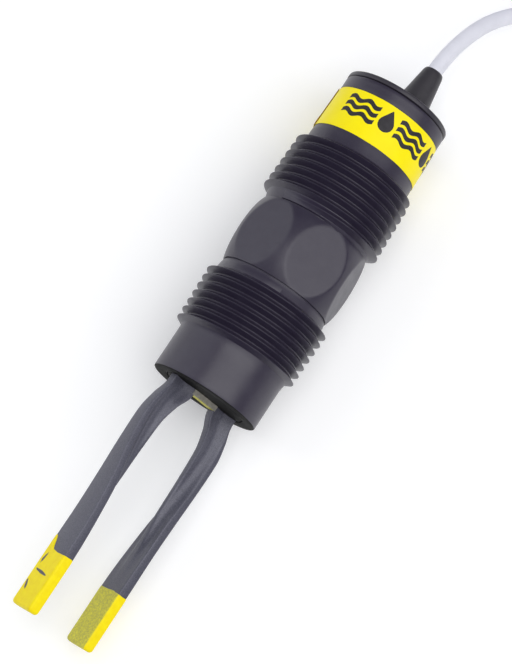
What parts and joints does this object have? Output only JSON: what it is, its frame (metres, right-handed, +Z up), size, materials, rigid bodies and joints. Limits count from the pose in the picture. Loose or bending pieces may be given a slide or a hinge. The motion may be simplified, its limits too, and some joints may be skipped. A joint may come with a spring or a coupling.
{
  "type": "vibrating fork liquid probe",
  "caption": "Slim threaded vibrating-fork probe for sensing liquid, with a wrench hexagon between two male pipe threads, a dipped-tip tuning fork and a white cable tied in a coil",
  "frame": {"origin": "bottom centre of the probe's box without its cable: on the surface it lies on, under its axis, half way from the fork's tips to the boot's end", "axes": "+Y along the probe's axis from the fork towards the cap, +Z up, +X across; the fork is turned 38 degrees about the axis"},
  "size_m": [0.0544, 0.2125, 0.0265],
  "materials": {
    "housing_plastic": "fine-grained black moulding, slightly violet",
    "lid_plastic": "satin black",
    "boot_rubber": "satin black",
    "label_film": "yellow satin film with plain black marks",
    "cable_jacket": "smooth white jacket",
    "fork_metal": "slate grey, fine speckled coating",
    "tip_coating": "dipped yellow coating",
    "seal_rubber": "moulded",
    "nut_brass": "turned",
    "insulator_ceramic": "ground ceramic",
    "electrode_brass": "stamped sheet",
    "piezo_ceramic": "fired ceramic",
    "stack_steel": "turned",
    "holder_plastic": "moulded",
    "board_laminate": "green solder mask",
    "component_plastic": "moulded package",
    "capacitor_sleeve": "shrunk sleeve",
    "header_plastic": "moulded",
    "potting_resin": "poured resin",
    "tie_nylon": "moulded nylon",
    "wire_red": "extruded",
    "wire_black": "extruded",
    "wire_white": "extruded",
    "wire_green": "extruded",
    "ferrule_tin": "tinned"
  },
  "bodies": {
    "root": {"housing": "housing_plastic", "lid": "lid_plastic", "cable_boot": "boot_rubber", "label": "label_film", "cable_entry": "cable_jacket", "fork": "fork_metal", "tip_coat_a": "tip_coating", "tip_coat_b": "tip_coating", "fork_seal": "seal_rubber", "fork_nut": "nut_brass", "lower_insulator": "insulator_ceramic", "lower_electrode": "electrode_brass", "drive_piezo": "piezo_ceramic", "middle_electrode": "electrode_brass", "sense_piezo": "piezo_ceramic", "upper_electrode": "electrode_brass", "upper_insulator": "insulator_ceramic", "back_mass": "stack_steel", "spring_washer": "stack_steel", "preload_bolt": "stack_steel", "board_holder": "holder_plastic", "circuit_board": "board_laminate", "driver_chip": "component_plastic", "output_switch": "component_plastic", "filter_capacitor": "capacitor_sleeve", "wire_header": "header_plastic", "potting": "potting_resin", "cable": "cable_jacket", "cable_coil": "cable_jacket", "cable_end": "cable_jacket", "cable_ties": "tie_nylon", "conductor_red": "wire_red", "conductor_black": "wire_black", "conductor_white": "wire_white", "conductor_green": "wire_green", "wire_ferrules": "ferrule_tin"}
  },
  "joints": []
}
